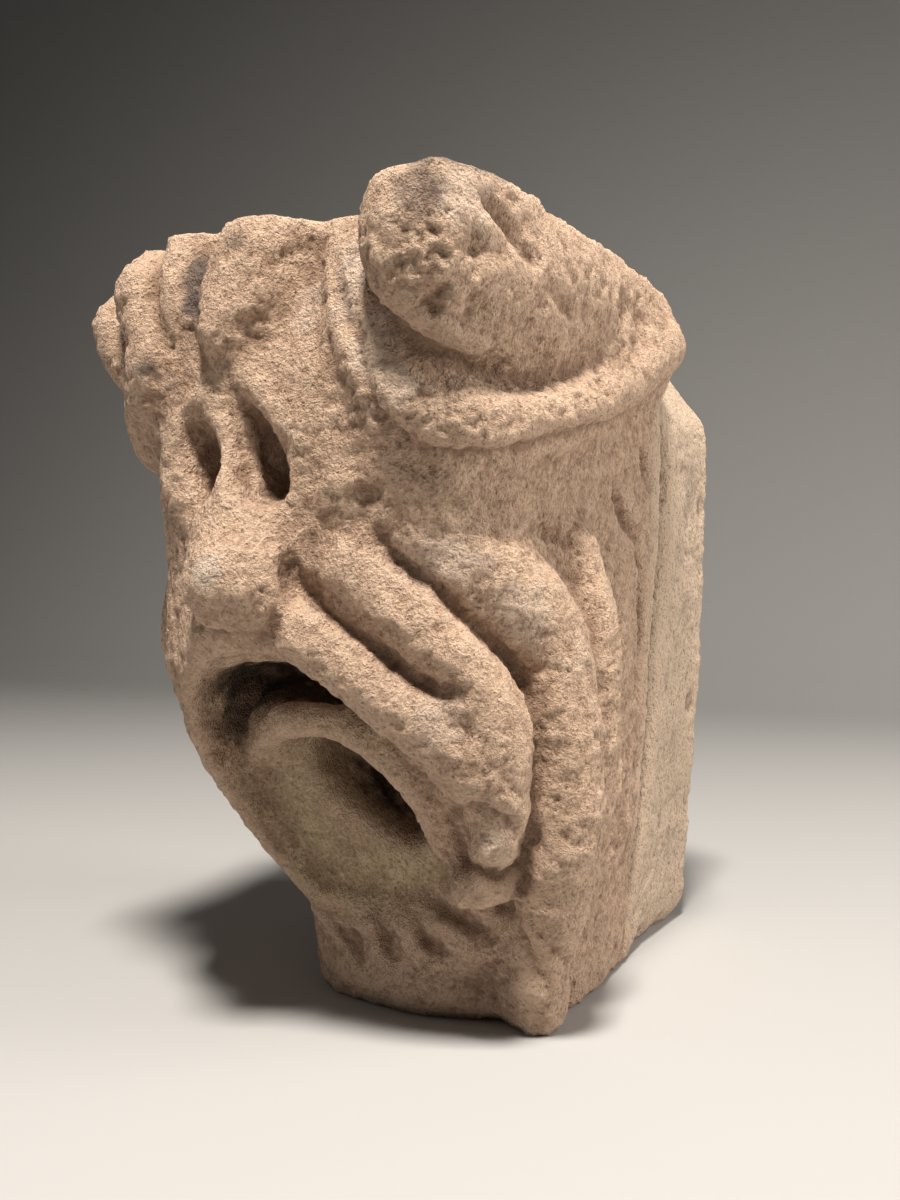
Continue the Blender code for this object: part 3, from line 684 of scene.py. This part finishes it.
@dataclass
class CorbelStone:
    """The carved stone: the mask with its curls, and the plain tail that goes into the wall."""

    node: str = "corbel_stone"
    voxel: float = 0.0015
    first_smoothing: int = 7
    last_smoothing: int = 1
    triangle_limit: int = 190_000
    flat_margin: float = 0.0012
    mark_size: float = 0.006
    mark_depth: float = 0.0004
    tail_calm: float = 0.6
    tail_start: float = -0.088
    tail_fade: float = 0.02
    weathering: Weathering = Weathering()
    finish: Sandstone = field(default_factory=Sandstone)

    def solid_copy(self) -> bpy.types.Object:
        """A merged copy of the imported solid.

        Returns:
            The copy, as an object of its own.
        """
        skin = bmesh.new()
        skin.from_mesh(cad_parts[self.node].data)
        bmesh.ops.remove_doubles(skin, verts=skin.verts, dist=1e-6)
        return self.put_in_scene(skin, "corbel_mask")

    @staticmethod
    def put_in_scene(skin: bmesh.types.BMesh, name: str) -> bpy.types.Object:
        """A new object that holds a mesh.

        Args:
            skin: the mesh, which is freed.
            name: the object's name.

        Returns:
            The object.
        """
        mesh = bpy.data.meshes.new(name)
        skin.to_mesh(mesh)
        skin.free()
        piece = bpy.data.objects.new(name, mesh)
        bpy.context.scene.collection.objects.link(piece)
        return piece

    @staticmethod
    def evaluated(piece: bpy.types.Object) -> bmesh.types.BMesh:
        """The mesh of a helper object with its modifiers applied; the helper is removed."""
        skin = bmesh.new()
        skin.from_object(piece, bpy.context.evaluated_depsgraph_get())
        bpy.data.objects.remove(piece)
        return skin

    def fine_skin(self) -> bmesh.types.BMesh:
        """The solid's skin in much finer faces."""
        piece = self.solid_copy()
        remesh = piece.modifiers.new("fine skin", "REMESH")
        remesh.mode = "VOXEL"
        remesh.voxel_size = self.voxel
        return self.evaluated(piece)

    def thinned(self, skin: bmesh.types.BMesh) -> bmesh.types.BMesh:
        """The skin with no more triangles than the limit."""
        piece = self.put_in_scene(skin, "corbel_mask")
        triangles = sum(len(face.vertices) - 2 for face in piece.data.polygons)
        thin = piece.modifiers.new("thin", "DECIMATE")
        thin.ratio = min(1.0, self.triangle_limit / triangles)
        thin.use_collapse_triangulate = True
        return self.evaluated(piece)

    def dress_seats(self, skin: bmesh.types.BMesh) -> None:
        """Lays the wall face, the bed and the foot on their planes, with shallow tool marks in them."""
        low, high = (np.array(corner) for corner in SOLID_BOX)
        for vert in skin.verts:
            mark = max(0.0, noise.noise(vert.co / self.mark_size)) * self.mark_depth
            if vert.co.y > high[1] - self.flat_margin:
                vert.co.y = high[1] - mark
            if vert.co.z > high[2] - self.flat_margin:
                vert.co.z = high[2] - mark
            if vert.co.z < low[2] + self.flat_margin:
                vert.co.z = low[2] + mark

    def build(self) -> bpy.types.Object:
        """Carves, weathers and dresses the stone.

        Returns:
            The finished piece.
        """
        skin = StoneSkin(self.fine_skin())
        skin.smooth(self.first_smoothing)
        skin.carve(STROKES)
        skin.press(PRESSES)
        skin.smooth(self.last_smoothing)
        calm = np.maximum(skin.coverage(OCHRE), self.tail_calm * self.tail_share(skin))
        skin.weather(self.weathering, calm, skin.coverage(ROUGH))
        self.dress_seats(skin.mesh)
        return self.dress(StoneSkin(self.thinned(skin.mesh)))

    def tail_share(self, skin: StoneSkin) -> np.ndarray:
        """How far each place belongs to the tail, from 0 to 1."""
        return np.clip((skin.places[:, 1] - self.tail_start) / self.tail_fade + 0.5, 0, 1)

    def dress(self, skin: StoneSkin) -> bpy.types.Object:
        """Gives the skin its tones, painted shade and highlight among them, and its material.

        Args:
            skin: the finished skin.

        Returns:
            The finished piece.
        """
        hollow = skin.hollowness()
        tones = {
            # painted shade: darker in grooves and creases
            "hollow": np.clip(hollow, 0, 1),
            # painted shade: near-black in the recess, the throat and the nostrils
            "deep": skin.coverage(PAINTED_DEEP_SHADE),
            # painted highlight: lighter on the crests
            "crest": np.clip(-hollow, 0, 1),
            "aged": self.tail_share(skin),
            "soot": skin.coverage(SOOT),
            "pale": skin.coverage(PALE),
            "ochre": skin.coverage(OCHRE),
            "yellow": skin.coverage(YELLOW),
        }
        piece = self.put_in_scene(skin.mesh, "corbel_mask")
        for name, values in tones.items():
            layer = piece.data.attributes.new(name, "FLOAT", "POINT")
            layer.data.foreach_set("value", values.astype(np.float32))
        piece.data.materials.append(self.finish.material())
        piece.data.shade_smooth()
        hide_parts(self.node)
        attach(piece, "root")
        return piece


@dataclass(frozen=True)
class SoftLight:
    """A square soft light: its place and side in metres, its power in watts and its colour."""

    name: str
    place: tuple[float, float, float]
    size: float
    power: float
    warmth: tuple[float, float, float]


@dataclass
class Studio:
    """A plain pale floor, soft light and the camera at the photograph's place."""

    key: SoftLight = SoftLight("key", (0.34, -0.84, 1.56), 0.25, 62, (1.0, 0.95, 0.88))
    fill: SoftLight = SoftLight("fill", (-1.3, -0.9, 0.5), 1.2, 2.6, (1.0, 0.97, 0.94))
    rim: SoftLight = SoftLight("rim", (1.4, 0.3, 0.5), 0.8, 18, (1.0, 0.96, 0.9))
    aim: tuple[float, float, float] = (0, -0.15, 0)
    room_colour: tuple[float, float, float] = (1.0, 0.98, 0.95)
    room_strength: float = 0.03
    floor_level: float = -0.150
    floor_gap: float = 0.0005
    floor_size: float = 12.0
    floor_colour: tuple[float, float, float] = (0.42, 0.41, 0.40)
    floor_roughness: float = 0.9
    sweep_start: float = 1.2
    sweep_curve: float = 0.8
    camera_place: tuple[float, float, float] = (0.266, -0.615, 0.014)
    azimuth: float = 28.0
    lens: float = 36.39

    def build_floor(self) -> None:
        """Lays the floor, which curves up behind the stone."""
        sweep = bmesh.new()
        bmesh.ops.create_grid(sweep, x_segments=1, y_segments=60, size=self.floor_size / 2)
        for vert in sweep.verts:
            rise = max(0.0, vert.co.y - self.sweep_start)
            vert.co.z = self.floor_level - self.floor_gap + rise ** 2 * self.sweep_curve
        floor = CorbelStone.put_in_scene(sweep, "studio_floor")
        floor.data.shade_smooth()
        graph = MaterialGraph("studio_floor")
        graph.shader.inputs["Base Color"].default_value = (*self.floor_colour, 1)
        graph.shader.inputs["Roughness"].default_value = self.floor_roughness
        floor.data.materials.append(graph.material)

    def add_light(self, soft: SoftLight) -> None:
        """Stands a soft light so that it faces the stone.

        Args:
            soft: the light.
        """
        light = bpy.data.lights.new(soft.name, "AREA")
        light.size = soft.size
        light.energy = soft.power
        light.color = soft.warmth
        lamp = bpy.data.objects.new(soft.name, light)
        lamp.location = soft.place
        way = Vector(self.aim) - Vector(soft.place)
        lamp.rotation_euler = way.to_track_quat("-Z", "Y").to_euler()
        bpy.context.scene.collection.objects.link(lamp)

    def build_lights(self) -> None:
        """Key light high above the camera, a weak fill on its left, a rim light and a soft room."""
        for soft in (self.key, self.fill, self.rim):
            self.add_light(soft)
        world = bpy.data.worlds.new("studio")
        world.use_nodes = True
        background = world.node_tree.nodes["Background"]
        background.inputs["Color"].default_value = (*self.room_colour, 1)
        background.inputs["Strength"].default_value = self.room_strength
        bpy.context.scene.world = world
        bpy.context.scene.view_settings.view_transform = "Standard"

    def build_camera(self) -> None:
        """Stands the camera level, where the photograph was taken from."""
        data = bpy.data.cameras.new("photo_camera")
        data.lens = self.lens
        data.sensor_width = 36.0
        data.clip_start = 0.01
        camera = bpy.data.objects.new("photo_camera", data)
        camera.location = self.camera_place
        camera.rotation_euler = (math.radians(90), 0, math.radians(self.azimuth))
        bpy.context.scene.collection.objects.link(camera)
        bpy.context.scene.camera = camera

    def build(self) -> None:
        """Builds the floor, the lights and the camera."""
        self.build_floor()
        self.build_lights()
        self.build_camera()


def main() -> None:
    """Builds the stone and the studio, and reports each."""
    logging.basicConfig(level=logging.INFO, format="%(name)s: %(message)s")
    piece = CorbelStone().build()
    LOG.info("%s has %d triangles", piece.name, len(piece.data.polygons))
    Studio().build()
    LOG.info("the studio is set")


if __name__ == "__main__":
    main()
